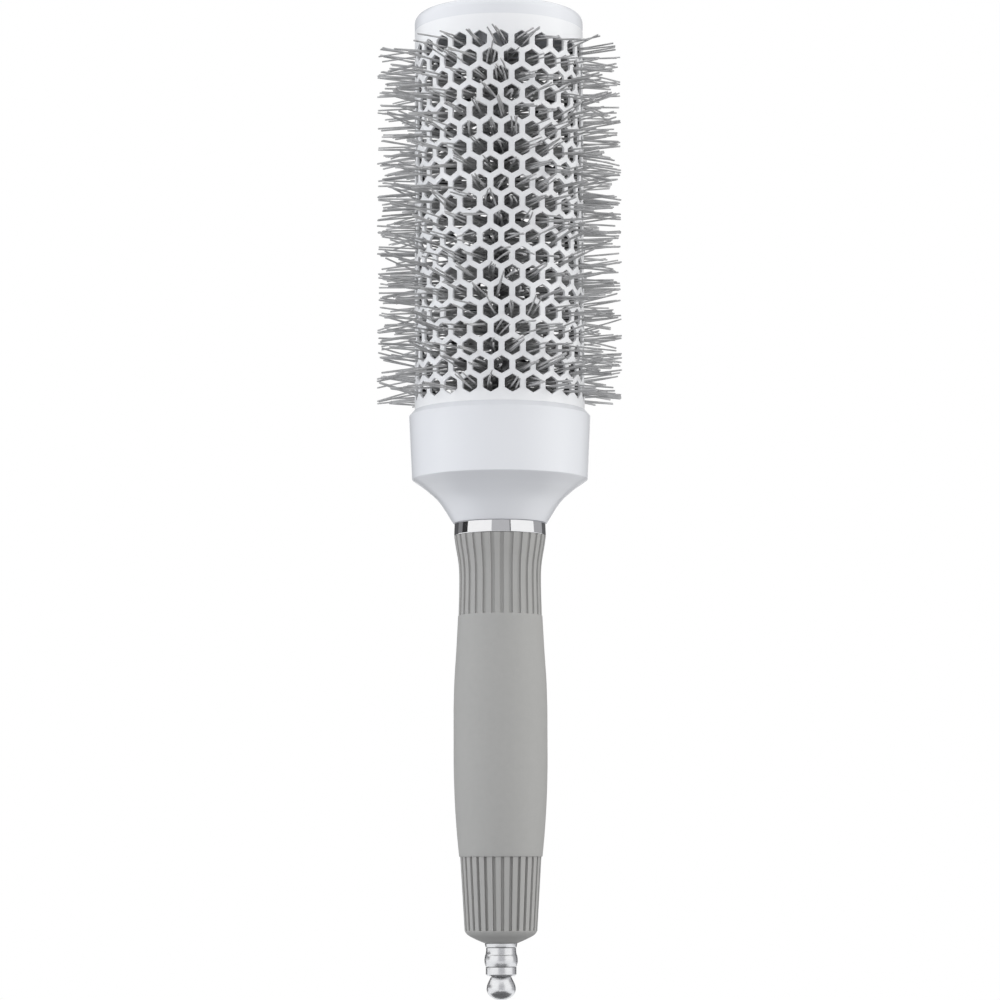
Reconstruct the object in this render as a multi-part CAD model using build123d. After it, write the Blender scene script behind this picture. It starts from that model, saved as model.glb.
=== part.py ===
"""Round barrel brush for blow-drying.

A vented, ceramic-coated metal tube with rows of nylon bristles sits on a flared
collar and a soft-touch handle. A sectioning pin slides out of the handle's tail.
Millimetres. The brush's axis is +Z, with the barrel up. The origin is on the
axis, in the middle of the handle's crown, where a hand or a clamp holds it.
"""
from build123d import *
from math import cos, pi, radians, sin
import os

# ---------------------------------------------------------------- fits
FIXED_FIT = 0.05        # radial gap between pieces that are glued or pressed together
RUNNING_FIT = 0.06      # radial gap round the sliding pin
REST_GAP = 0.3          # gap between faces that meet when the pin is pushed home

# ---------------------------------------------------------------- barrel
BARREL_R = 21.5
BARREL_WALL = 0.8
HOLES_ROUND = 25
HOLE_FLATS = 3.85       # across the flats of each hexagonal vent
FRONT_VENT_TURN = 1.3   # degrees from -Y to the nearest vent of the top row
ROWS = 20
ROW_PITCH = 4.568
FIRST_ROW_ABOVE_COLLAR = 4.28
PLAIN_BAND = 6.48       # from the last row's centres to the tube's top edge

# ---------------------------------------------------------------- end cap
CAP_HEIGHT = 4.45
CAP_SHOULDER_R = 2.9
CAP_CEILING = 2.0
CAP_SKIRT = 2.9         # how far the cap's plug reaches down into the tube
CAP_SKIRT_WALL = 1.6
CAP_BOSS_WALL = 2.0
CAP_BOSS_DROP = 7.0

# ---------------------------------------------------------------- core and bristles
WIRE_R = 1.0
WIRE_GAP = 0.3          # between the two twisted wires
BUSH_WALL = 0.8
ANCHOR_LEDGE = 3.0      # how far the anchor's flange reaches over the collar's boss
ANCHOR_FLANGE = 2.5
ANCHOR_SHANK = 8.0
WIRE_END_GAP = 1.0      # from a wire's end to the blind end of its bush
BRISTLE_R = 0.225
BRISTLE_REACH = 9.7     # from the barrel's surface to the tips
BRISTLE_ROOT_GAP = 0.15
BRISTLE_SPREAD = 1.1    # between the two bristles that share a vent, along the axis

# ---------------------------------------------------------------- collar
MOUTH_OVERHANG = 0.33   # how far the collar's mouth stands out past the chrome ring
RIDGE_WALL = 0.6
BAND_WALL = 1.35
COLLAR_LIP = 0.1
FLARE_HEIGHT = 11.1
BAND_HEIGHT = 16.0
COLLAR_CHAMFER = 1.4
SOCKET_DEPTH = 13.0
COLLAR_FLOOR = 3.0
CAVITY_FLOOR = 1.4      # width of the hollow's floor between the boss and the flare
SEAT_WIDTH = 1.5        # ledge that the barrel stands on
BOSS_WALL = 1.8
BOSS_LID = 2.5

# ---------------------------------------------------------------- chrome ring
RING_HEIGHT = 3.2
RING_PROUD = 0.03       # how far the ring stands out past the top of the grip
RING_TAPER = 0.1
RING_EDGE_R = 0.25

# ---------------------------------------------------------------- handle
CORE_R = 7.6
SPIGOT_R = 8.0
SHOULDER_LEDGE = 1.0    # how far the core's shoulder stands out past its spigot
SPIGOT_LENGTH = 13.5
CROWN_R = 11.75
CROWN_LENGTH = 12.0
UPPER_TAPER = 23.2      # from the crown to the neck's ribs
NECK_RIBS = 20.1
LOWER_TAPER = 25.0      # from the crown to the tail's ribs
TAIL_RIBS = 18.25
GRIP_STEP_UP_R = 10.6
GRIP_NECK_R = 10.46
GRIP_WAIST_R = 10.27
GRIP_TOP_R = 11.57
GRIP_STEP_DOWN_R = 10.39
GRIP_TAIL_R = 10.12
GRIP_RIM_R = 9.05
TAIL_DOME = 3.1
GRIP_END_WALL = 3.0
FLUTES = 29
FRONT_FLUTE_TURN = 2.4  # degrees from -Y to the nearest flute
FLUTE_WIDTH = 0.92
FLUTE_DEPTH = 0.55

# ---------------------------------------------------------------- tail ferrule
FERRULE_FLANGE_R = 4.05
FERRULE_FLANGE_TAPER = 0.18
FERRULE_FLANGE = 1.0
FERRULE_WAIST_R = 3.74
FERRULE_WAIST = 1.85
FERRULE_WAIST_HOLLOW = 0.03     # how far the waist's middle stands out past its top
FERRULE_CREASE_R = 3.98         # where the waist meets the bead
FERRULE_BEAD_R = 4.14
FERRULE_BEAD_FOOT_R = 3.84
FERRULE_BEAD = 2.75
FERRULE_GROOVE_R = 3.45
FERRULE_GROOVE = 0.14
FERRULE_NOSE_R = 3.8
FERRULE_NOSE = 2.22
FERRULE_NOSE_CHAMFER = 0.4
FERRULE_SHANK = 10.0

# ---------------------------------------------------------------- sectioning pin
PIN_R = 1.2
PIN_TRAVEL = 55.0
PIN_OVERTRAVEL = 0.5    # left between the stop and the ferrule with the pin right out
PIN_POCKET = 4.0        # depth of the knob's blind hole
STOP_LENGTH = 3.0
STOP_LEDGE = 0.35       # how far the stop lands on the ferrule round the ring's seat
GUIDE_WALL = 0.75
GUIDE_HEADROOM = 2.5
RING_SEAT_DEPTH = 2.0
FRICTION_RING_WALL = 1.0
FRICTION_RING_HEIGHT = 1.6
KNOB_NECK_R = 2.6
KNOB_R = 3.62
KNOB_NECK_TO_WAIST = 2.85
KNOB_WAIST_TO_END = 2.85

# ---------------------------------------------------------------- how curves bulge, as shares
FLARE_LOW_BULGE = (0.325, 0.475)    # share of the flare's spread at a share of its height
FLARE_HIGH_BULGE = (0.655, 0.765)
CROWN_FALL = (0.19, 0.3)            # share of the step down from the crown, at a share of the taper
WAIST_UP = 0.4                      # shares of the neck's height
NECK_TURN = (0.12, 0.64)            # share of the spread to the neck's top, at a share of its height
NECK_SHOULDER = (0.71, 0.875)
DOME_BULGE = (0.17, 0.35)           # share of the way in to the ferrule, at a share of the dome's drop
DOME_FALL = (0.65, 0.74)

# ---------------------------------------------------------------- heights on the axis
CROWN_TOP = CROWN_LENGTH / 2
NECK_LOW = CROWN_TOP + UPPER_TAPER
GRIP_TOP = NECK_LOW + NECK_RIBS
RING_TOP = GRIP_TOP + RING_HEIGHT
RIDGE = RING_TOP + FLARE_HEIGHT
BAND_TOP = RIDGE + BAND_HEIGHT
COLLAR_TOP = BAND_TOP + COLLAR_CHAMFER
BARREL_LOW = COLLAR_TOP - SOCKET_DEPTH
FIRST_ROW = COLLAR_TOP + FIRST_ROW_ABOVE_COLLAR
LAST_ROW = FIRST_ROW + (ROWS - 1) * ROW_PITCH
BARREL_TOP = LAST_ROW + PLAIN_BAND
CAP_TOP = BARREL_TOP + CAP_HEIGHT
CAP_CEILING_LOW = CAP_TOP - CAP_CEILING
SPIGOT_TOP = RING_TOP + SPIGOT_LENGTH
BOSS_TOP = SPIGOT_TOP + BOSS_LID

CROWN_LOW = -CROWN_LENGTH / 2
TAIL_RIBS_TOP = CROWN_LOW - LOWER_TAPER
RIM = TAIL_RIBS_TOP - TAIL_RIBS
GRIP_LOW = RIM - TAIL_DOME
CORE_LOW = GRIP_LOW + GRIP_END_WALL
FERRULE_LOW = GRIP_LOW - (FERRULE_FLANGE + FERRULE_WAIST + FERRULE_BEAD
                          + 2 * FERRULE_GROOVE + FERRULE_NOSE)
SHANK_TOP = GRIP_LOW + FERRULE_SHANK
STOP_LOW = SHANK_TOP + PIN_TRAVEL + PIN_OVERTRAVEL
PIN_TOP = STOP_LOW + STOP_LENGTH
GUIDE_TOP = PIN_TOP + GUIDE_HEADROOM
KNOB_TOP = FERRULE_LOW - REST_GAP
KNOB_WAIST = KNOB_TOP - KNOB_NECK_TO_WAIST
KNOB_END = KNOB_WAIST - KNOB_WAIST_TO_END

# ---------------------------------------------------------------- radii that follow
BARREL_BORE_R = BARREL_R - BARREL_WALL
WIRE_ORBIT_R = WIRE_R + WIRE_GAP / 2
CORE_BUNDLE_R = WIRE_ORBIT_R + WIRE_R
BUSH_BORE_R = CORE_BUNDLE_R + FIXED_FIT
BUSH_R = BUSH_BORE_R + BUSH_WALL
BUSH_SEAT_R = BUSH_R + FIXED_FIT
CROWDED_ROOT_R = HOLES_ROUND * (2 * BRISTLE_R + BRISTLE_ROOT_GAP) / (2 * pi)
BRISTLE_ROOT_R = max(CORE_BUNDLE_R + BRISTLE_ROOT_GAP, CROWDED_ROOT_R)
BRISTLE_TIP_R = BARREL_R + BRISTLE_REACH
SOCKET_R = BARREL_R + FIXED_FIT
RING_BOTTOM_R = GRIP_TOP_R + RING_PROUD
RING_TOP_R = RING_BOTTOM_R - RING_TAPER
COLLAR_MOUTH_R = RING_TOP_R + MOUTH_OVERHANG
COLLAR_RIDGE_R = SOCKET_R + RIDGE_WALL
COLLAR_BAND_R = SOCKET_R + BAND_WALL
SHOULDER_R = SPIGOT_R + SHOULDER_LEDGE
SPIGOT_SOCKET_R = SPIGOT_R + FIXED_FIT
GRIP_BORE_R = CORE_R + FIXED_FIT
PIN_BORE_R = PIN_R + RUNNING_FIT
RING_SEAT_R = PIN_BORE_R + FRICTION_RING_WALL + FIXED_FIT
STOP_R = RING_SEAT_R + STOP_LEDGE
GUIDE_BORE_R = STOP_R + RUNNING_FIT
GUIDE_R = GUIDE_BORE_R + GUIDE_WALL


# ---------------------------------------------------------------- shared shapes
def turned(*edges):
    """A solid turned about the axis from an outline of (radius, height) edges."""
    return revolve(Plane.XZ * make_face(edges), Axis.Z)


def path(*points):
    """Straight edges through (radius, height) points."""
    return Polyline(*points)


def between(start, end, shares):
    """The point at a share of the way across and a share of the way up between two points."""
    return (start[0] + shares[0] * (end[0] - start[0]), start[1] + shares[1] * (end[1] - start[1]))


def tube(outer_r, inner_r, low, high):
    """A plain round tube between two heights."""
    return turned(path((inner_r, low), (outer_r, low), (outer_r, high), (inner_r, high), (inner_r, low)))


def rod(radius, low, high):
    """A plain round bar between two heights."""
    return Pos(0, 0, low) * Cylinder(radius, high - low, align=(Align.CENTER, Align.CENTER, Align.MIN))


def row_height(row):
    """Height of a row of vents, with row 0 nearest the collar."""
    return FIRST_ROW + row * ROW_PITCH


def row_angles(row):
    """Directions of a row's vents in degrees. Every other row is turned by half a step."""
    step = 360 / HOLES_ROUND
    lead = 0.5 * ((ROWS - 1 - row) % 2)
    return [step * (i + lead) - 90 + FRONT_VENT_TURN for i in range(HOLES_ROUND)]


def outward(angle, height):
    """A plane on the axis whose normal points outward, with its y direction along the axis."""
    a = radians(angle)
    return Plane(origin=(0, 0, height), x_dir=(-sin(a), cos(a), 0), z_dir=(cos(a), sin(a), 0))


# ---------------------------------------------------------------- barrel and cap
def barrel_tube():
    """The metal tube, pierced by rows of hexagonal vents that stand on a corner."""
    margin = 2.0
    cutter = extrude(RegularPolygon(HOLE_FLATS / 2, 6, major_radius=False, rotation=30),
                     BARREL_WALL + 2 * margin)
    cutters = [outward(angle, row_height(row)) * Pos(0, 0, BARREL_BORE_R - margin) * cutter
               for row in range(ROWS) for angle in row_angles(row)]
    return tube(BARREL_R, BARREL_BORE_R, BARREL_LOW, BARREL_TOP) - cutters


def end_cap():
    """A cap flush with the tube, with a plug skirt and a central boss for the core's tip."""
    skirt_r = BARREL_BORE_R - FIXED_FIT
    hollow_r = skirt_r - CAP_SKIRT_WALL
    skirt_low = BARREL_TOP - CAP_SKIRT
    boss_r = BUSH_SEAT_R + CAP_BOSS_WALL
    boss_low = CAP_CEILING_LOW - CAP_BOSS_DROP
    outline = path((0, CAP_TOP), (0, CAP_CEILING_LOW), (BUSH_SEAT_R, CAP_CEILING_LOW),
                   (BUSH_SEAT_R, boss_low), (boss_r, boss_low), (boss_r, CAP_CEILING_LOW),
                   (hollow_r, CAP_CEILING_LOW), (hollow_r, skirt_low), (skirt_r, skirt_low),
                   (skirt_r, BARREL_TOP), (BARREL_R, BARREL_TOP), (BARREL_R, CAP_TOP - CAP_SHOULDER_R))
    shoulder = RadiusArc((BARREL_R, CAP_TOP - CAP_SHOULDER_R),
                         (BARREL_R - CAP_SHOULDER_R, CAP_TOP), -CAP_SHOULDER_R)
    lid = Line((BARREL_R - CAP_SHOULDER_R, CAP_TOP), (0, CAP_TOP))
    return turned(outline, shoulder, lid)


def core_tip_bush():
    """A blind bush in the cap's boss, which holds the twisted core's upper end."""
    low = CAP_CEILING_LOW - CAP_BOSS_DROP
    lid = CAP_CEILING_LOW - BUSH_WALL
    return turned(path((0, CAP_CEILING_LOW), (0, lid), (BUSH_BORE_R, lid), (BUSH_BORE_R, low),
                       (BUSH_R, low), (BUSH_R, CAP_CEILING_LOW), (0, CAP_CEILING_LOW)))


# ---------------------------------------------------------------- twisted core and bristles
def core_wire(start_angle):
    """One of the two wires that are twisted together to clamp the bristles."""
    low = BOSS_TOP - ANCHOR_SHANK + WIRE_END_GAP
    high = CAP_CEILING_LOW - BUSH_WALL - WIRE_END_GAP
    lay = 2 * ROW_PITCH
    line = Helix(pitch=lay, height=high - low, radius=WIRE_ORBIT_R)
    section = Plane(origin=line @ 0, z_dir=line % 0) * Circle(WIRE_R)
    return Pos(0, 0, low) * Rot(0, 0, start_angle) * sweep(section, path=line, is_frenet=True)


def core_anchor():
    """A flanged bush on the collar's boss, which grips the core's lower end."""
    low = BOSS_TOP - ANCHOR_SHANK
    top = BOSS_TOP + ANCHOR_FLANGE
    flange_r = BUSH_R + ANCHOR_LEDGE
    return turned(path((BUSH_BORE_R, low), (BUSH_R, low), (BUSH_R, BOSS_TOP), (flange_r, BOSS_TOP),
                       (flange_r, top), (BUSH_BORE_R, top), (BUSH_BORE_R, low)))


def bristle_row(row):
    """Two nylon bristles for each vent of one row, from the twisted core to the tips."""
    bristle = Cylinder(BRISTLE_R, BRISTLE_TIP_R - BRISTLE_ROOT_R,
                       align=(Align.CENTER, Align.CENTER, Align.MIN))
    return Compound([outward(angle, row_height(row) + side * BRISTLE_SPREAD / 2)
                     * Pos(0, 0, BRISTLE_ROOT_R) * bristle
                     for angle in row_angles(row) for side in (-1, 1)])


# ---------------------------------------------------------------- collar and ring
def collar():
    """The flared bell that joins the handle to the barrel, with a socket for each."""
    seat_r = SOCKET_R - SEAT_WIDTH - FIXED_FIT
    cavity_low = RING_TOP + COLLAR_FLOOR
    boss_r = SPIGOT_SOCKET_R + BOSS_WALL
    flare = Spline((COLLAR_MOUTH_R, RING_TOP),
                   between((COLLAR_MOUTH_R, RING_TOP), (COLLAR_RIDGE_R, RIDGE), FLARE_LOW_BULGE),
                   between((COLLAR_MOUTH_R, RING_TOP), (COLLAR_RIDGE_R, RIDGE), FLARE_HIGH_BULGE),
                   (COLLAR_RIDGE_R, RIDGE))
    outside = path((COLLAR_RIDGE_R, RIDGE), (COLLAR_BAND_R, BAND_TOP), (SOCKET_R + COLLAR_LIP, COLLAR_TOP),
                   (SOCKET_R, COLLAR_TOP), (SOCKET_R, BARREL_LOW), (seat_r, BARREL_LOW),
                   (seat_r, RIDGE), (boss_r + CAVITY_FLOOR, cavity_low), (boss_r, cavity_low),
                   (boss_r, BOSS_TOP), (BUSH_SEAT_R, BOSS_TOP), (BUSH_SEAT_R, SPIGOT_TOP),
                   (SPIGOT_SOCKET_R, SPIGOT_TOP), (SPIGOT_SOCKET_R, RING_TOP), (COLLAR_MOUTH_R, RING_TOP))
    return turned(flare, outside)


def trim_ring():
    """The chrome ring between the collar and the grip."""
    inner_r = SHOULDER_R + FIXED_FIT
    outline = path((inner_r, GRIP_TOP), (RING_BOTTOM_R, GRIP_TOP), (RING_TOP_R, RING_TOP),
                   (inner_r, RING_TOP), (inner_r, GRIP_TOP))
    ring = turned(outline)
    outer_edges = ring.edges().sort_by(lambda edge: edge.length)[-2:]
    return fillet(outer_edges, RING_EDGE_R)


# ---------------------------------------------------------------- handle
def handle_core():
    """The rigid plastic core of the handle, from the tail to its spigot in the collar."""
    guide_seat_r = GUIDE_R + FIXED_FIT
    anchor_pocket = BOSS_TOP - ANCHOR_SHANK - WIRE_END_GAP
    return turned(path((guide_seat_r, CORE_LOW), (CORE_R, CORE_LOW), (CORE_R, GRIP_TOP),
                       (SHOULDER_R, GRIP_TOP), (SHOULDER_R, RING_TOP), (SPIGOT_R, RING_TOP),
                       (SPIGOT_R, SPIGOT_TOP), (BUSH_SEAT_R, SPIGOT_TOP), (BUSH_SEAT_R, anchor_pocket),
                       (0, anchor_pocket), (0, GUIDE_TOP), (guide_seat_r, GUIDE_TOP),
                       (guide_seat_r, CORE_LOW)))


def neck_line(inset):
    """The grip's outline up the ribbed neck, moved inward by inset."""
    foot = (GRIP_WAIST_R - inset, NECK_LOW)
    top = (GRIP_TOP_R - inset, GRIP_TOP)
    return Spline((GRIP_NECK_R - inset, NECK_LOW), between(foot, top, (0, WAIST_UP)),
                  between(foot, top, NECK_TURN), between(foot, top, NECK_SHOULDER), top)


def flute_cutters():
    """The slots between the ribs, at a constant depth below the neck and the tail."""
    clear = 3.0
    neck_floor = neck_line(FLUTE_DEPTH)
    neck = make_face([neck_floor, path(neck_floor @ 1, neck_floor @ 1 + (0, clear),
                                       (GRIP_TOP_R + clear, GRIP_TOP + clear),
                                       (GRIP_TOP_R + clear, NECK_LOW), neck_floor @ 0)])
    tail = make_face(path((GRIP_TAIL_R - FLUTE_DEPTH, TAIL_RIBS_TOP), (GRIP_TAIL_R + clear, TAIL_RIBS_TOP),
                          (GRIP_TAIL_R + clear, RIM), (GRIP_RIM_R - FLUTE_DEPTH, RIM),
                          (GRIP_TAIL_R - FLUTE_DEPTH, TAIL_RIBS_TOP)))
    slots = [extrude(Plane.XZ * zone, FLUTE_WIDTH / 2, both=True) for zone in (neck, tail)]
    turns = [FRONT_FLUTE_TURN - 90 + 360 * i / FLUTES for i in range(FLUTES)]
    return [Rot(0, 0, turn) * slot for turn in turns for slot in slots]


def grip_sleeve():
    """The soft-touch sleeve, with a crown in the middle and ribs at the neck and tail."""
    end_hole_r = GUIDE_R + FIXED_FIT
    dome_foot_r = FERRULE_FLANGE_R
    crown_end, neck_step = (CROWN_R, CROWN_TOP), (GRIP_STEP_UP_R, NECK_LOW)
    upper = Spline(crown_end, between(crown_end, neck_step, CROWN_FALL), neck_step,
                   tangents=[(0, 1), (GRIP_STEP_UP_R - CROWN_R, UPPER_TAPER)])
    lower = TangentArc((CROWN_R, CROWN_LOW), (GRIP_STEP_DOWN_R, TAIL_RIBS_TOP), tangent=(0, -1))
    rim, dome_foot = (GRIP_RIM_R, RIM), (dome_foot_r, GRIP_LOW)
    dome = Spline(rim, between(rim, dome_foot, DOME_BULGE), between(rim, dome_foot, DOME_FALL), dome_foot)
    sleeve = turned(Line((CROWN_R, CROWN_LOW), (CROWN_R, CROWN_TOP)), upper,
                    Line((GRIP_STEP_UP_R, NECK_LOW), (GRIP_NECK_R, NECK_LOW)), neck_line(0),
                    path((GRIP_TOP_R, GRIP_TOP), (GRIP_BORE_R, GRIP_TOP), (GRIP_BORE_R, CORE_LOW),
                         (end_hole_r, CORE_LOW), (end_hole_r, GRIP_LOW), (dome_foot_r, GRIP_LOW)),
                    dome, path(rim, (GRIP_TAIL_R, TAIL_RIBS_TOP), (GRIP_STEP_DOWN_R, TAIL_RIBS_TOP)), lower)
    return sleeve - flute_cutters()


# ---------------------------------------------------------------- tail
def tail_ferrule():
    """The metal ferrule at the tail, whose shank guides the pin and seats the friction ring."""
    flange_low = GRIP_LOW - FERRULE_FLANGE
    waist_top = flange_low - FERRULE_GROOVE
    waist_low = waist_top - FERRULE_WAIST
    bead_low = waist_low - FERRULE_BEAD
    nose_top = bead_low - FERRULE_GROOVE
    waist = ThreePointArc((FERRULE_WAIST_R, waist_top),
                          (FERRULE_WAIST_R + FERRULE_WAIST_HOLLOW, (waist_top + waist_low) / 2),
                          (FERRULE_CREASE_R, waist_low))
    bead = ThreePointArc((FERRULE_CREASE_R, waist_low),
                         (FERRULE_BEAD_R, (waist_low + bead_low) / 2), (FERRULE_BEAD_FOOT_R, bead_low))
    upper = path((PIN_BORE_R, SHANK_TOP - RING_SEAT_DEPTH), (RING_SEAT_R, SHANK_TOP - RING_SEAT_DEPTH),
                 (RING_SEAT_R, SHANK_TOP), (GUIDE_R, SHANK_TOP), (GUIDE_R, GRIP_LOW),
                 (FERRULE_FLANGE_R, GRIP_LOW), (FERRULE_FLANGE_R - FERRULE_FLANGE_TAPER, flange_low),
                 (FERRULE_GROOVE_R, flange_low), (FERRULE_GROOVE_R, waist_top), (FERRULE_WAIST_R, waist_top))
    nose = path((FERRULE_BEAD_FOOT_R, bead_low), (FERRULE_GROOVE_R, bead_low), (FERRULE_GROOVE_R, nose_top),
                (FERRULE_NOSE_R, nose_top), (FERRULE_NOSE_R, FERRULE_LOW + FERRULE_NOSE_CHAMFER),
                (FERRULE_NOSE_R - FERRULE_NOSE_CHAMFER, FERRULE_LOW), (PIN_BORE_R, FERRULE_LOW),
                (PIN_BORE_R, SHANK_TOP - RING_SEAT_DEPTH))
    return turned(upper, waist, bead, nose)


def friction_ring():
    """The rubber ring in the ferrule that keeps the pin where it is put."""
    low = SHANK_TOP - RING_SEAT_DEPTH
    return tube(RING_SEAT_R - FIXED_FIT, PIN_BORE_R, low, low + FRICTION_RING_HEIGHT)


def guide_tube():
    """The tube in the handle's core that the pin's stop slides in."""
    return tube(GUIDE_R, GUIDE_BORE_R, SHANK_TOP, GUIDE_TOP)


def pin_rod():
    """The sectioning pin, from its pocket in the knob to its stop."""
    return rod(PIN_R, KNOB_TOP - PIN_POCKET, PIN_TOP)


def pin_stop():
    """The collar pressed on the pin's upper end, which stops it at the ferrule."""
    return tube(STOP_R, PIN_R + FIXED_FIT, STOP_LOW, PIN_TOP)


def pin_knob():
    """The turned knob that the pin is pulled by."""
    pocket_r = PIN_R + FIXED_FIT
    pocket_end = KNOB_TOP - PIN_POCKET
    upper = Spline((KNOB_NECK_R, KNOB_TOP), (KNOB_R, KNOB_WAIST), tangents=[(0.75, -1), (0, -1)])
    lower = Spline((KNOB_R, KNOB_WAIST), (0, KNOB_END), tangents=[(0, -1), (-1, 0)])
    return turned(upper, lower, path((0, KNOB_END), (0, pocket_end), (pocket_r, pocket_end),
                                     (pocket_r, KNOB_TOP), (KNOB_NECK_R, KNOB_TOP)))


# ---------------------------------------------------------------- the assembly
def assembly():
    """Every node of the brush by name."""
    nodes = {
        "barrel_tube": barrel_tube(),
        "end_cap": end_cap(),
        "core_tip_bush": core_tip_bush(),
        "core_wire_a": core_wire(0),
        "core_wire_b": core_wire(180),
        "core_anchor": core_anchor(),
        "collar": collar(),
        "trim_ring": trim_ring(),
        "handle_core": handle_core(),
        "grip_sleeve": grip_sleeve(),
        "tail_ferrule": tail_ferrule(),
        "friction_ring": friction_ring(),
        "guide_tube": guide_tube(),
        "pin_rod": pin_rod(),
        "pin_stop": pin_stop(),
        "pin_knob": pin_knob(),
    }
    for row in range(ROWS):
        nodes[f"bristle_row_{row + 1:02d}"] = bristle_row(row)
    return nodes


os.makedirs("parts", exist_ok=True)
for name, shape in assembly().items():
    export_step(shape, f"parts/{name}.step")
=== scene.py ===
"""Looks for the round barrel brush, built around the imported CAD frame.

Lengths of the brush are in millimetres, and make_mesh() turns them into metres. The stage
and the camera are in metres. The brush's axis is +Z, and the camera looks along +Y.
"""
import math
import random

import bpy
import numpy as np
from mathutils import Matrix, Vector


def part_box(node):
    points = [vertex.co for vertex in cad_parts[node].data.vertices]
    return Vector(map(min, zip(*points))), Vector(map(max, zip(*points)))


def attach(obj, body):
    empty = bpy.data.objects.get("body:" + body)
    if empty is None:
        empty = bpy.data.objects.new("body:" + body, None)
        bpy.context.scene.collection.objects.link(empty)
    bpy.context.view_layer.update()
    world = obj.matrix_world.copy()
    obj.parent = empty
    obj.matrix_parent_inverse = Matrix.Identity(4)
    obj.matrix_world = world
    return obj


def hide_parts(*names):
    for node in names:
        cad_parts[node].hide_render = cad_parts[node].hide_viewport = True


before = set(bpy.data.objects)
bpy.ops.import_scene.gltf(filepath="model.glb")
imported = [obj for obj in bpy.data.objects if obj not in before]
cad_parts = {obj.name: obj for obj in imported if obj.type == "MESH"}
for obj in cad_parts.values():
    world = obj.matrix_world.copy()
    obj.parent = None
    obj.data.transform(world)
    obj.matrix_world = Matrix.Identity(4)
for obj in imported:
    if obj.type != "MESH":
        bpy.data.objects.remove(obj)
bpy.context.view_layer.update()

MM = 0.001
TAU = 2 * math.pi


# ---------------------------------------------------------------- sizes from the frame
def radius_of(node):
    """The largest radius of a CAD node about the brush's axis, in millimetres."""
    co = np.array([v.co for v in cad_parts[node].data.vertices])
    return float(np.hypot(co[:, 0], co[:, 1]).max()) / MM


def span(node):
    """The lowest and highest point of a CAD node on the axis, in millimetres."""
    low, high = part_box(node)
    return (low / MM).z, (high / MM).z


BARREL_LOW, BARREL_TOP = span("barrel_tube")
BARREL_R = radius_of("barrel_tube")
PLUG_LOW, CAP_TOP = span("end_cap")
COLLAR_LOW, COLLAR_TOP = span("collar")
COLLAR_R = radius_of("collar")
RING_LOW, RING_TOP = span("trim_ring")
RING_R = radius_of("trim_ring")
GRIP_LOW, GRIP_TOP = span("grip_sleeve")
CROWN_R = radius_of("grip_sleeve")
CORE_LOW = span("handle_core")[0]
FERRULE_LOW, FERRULE_TOP = span("tail_ferrule")
FERRULE_R = radius_of("tail_ferrule")
KNOB_LOW, KNOB_TOP = span("pin_knob")
KNOB_R = radius_of("pin_knob")
PIN_LOW, PIN_TOP = span("pin_rod")
PIN_R = radius_of("pin_rod")
WIRE_LOW, WIRE_TOP = span("core_wire_a")
CORE_BUNDLE_R = radius_of("core_wire_a")

ROW_NODES = sorted(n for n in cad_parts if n.startswith("bristle_row_"))
ROWS = len(ROW_NODES)
ROW_Z = [sum(span(node)) / 2 for node in ROW_NODES]
ROW_PITCH = (ROW_Z[-1] - ROW_Z[0]) / (ROWS - 1)
TIP_R = max(radius_of(node) for node in ROW_NODES)

# ---------------------------------------------------------------- sizes of the looks
BARREL_WALL = 0.8
HOLES_ROUND = 25
VENT_STEP = TAU * BARREL_R / HOLES_ROUND
FRONT_VENT_ANGLE = math.radians(1.3 - 90)
HOLE_FLATS = 3.85
HOLE_CORNER_R = 0.3
HOLE_RIM_R = 0.2
HOLE_INNER_RIM = 0.1
SIDE_POINTS = 4  # mesh points on each side of a vent

CORE_BORE_R = 3.05  # the hole that the twisted core passes in the cap and the collar

FLUTES = 29
FRONT_FLUTE_ANGLE = math.radians(2.4 - 90)
FLUTE_HALF_WIDTH = 0.45
FLUTE_EDGE = 0.04
TAIL_FLUTE_SHARE = 0.84  # the tail's flutes are narrower than the neck's

TURNED_STEPS = 192  # mesh columns round the large turned pieces
METAL_STEPS = 96  # and round the ferrule and the knob
UP = np.array((0.0, 0.0, 1.0))


# ---------------------------------------------------------------- mesh helpers
def link_object(name, data):
    """A new object in the scene."""
    obj = bpy.data.objects.new(name, data)
    bpy.context.scene.collection.objects.link(obj)
    return obj


def make_mesh(name, verts, faces, materials, face_materials=None, normals=None, sharp=40):
    """A smooth-shaded object from vertices in millimetres."""
    mesh = bpy.data.meshes.new(name)
    mesh.from_pydata([tuple(c * MM for c in v) for v in verts], [], faces)
    for material in materials:
        mesh.materials.append(material)
    if face_materials is not None:
        mesh.polygons.foreach_set("material_index", face_materials)
    mesh.update()
    mesh.shade_smooth()
    if normals is not None:
        mesh.normals_split_custom_set_from_vertices(normals)
    elif sharp:
        mesh.set_sharp_from_angle(angle=math.radians(sharp))
    return link_object(name, mesh)


def add_piece(obj, body, node):
    """Makes obj ride on a body and stand for a CAD node, whose mesh it hides."""
    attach(obj, body)
    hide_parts(node)


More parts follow.
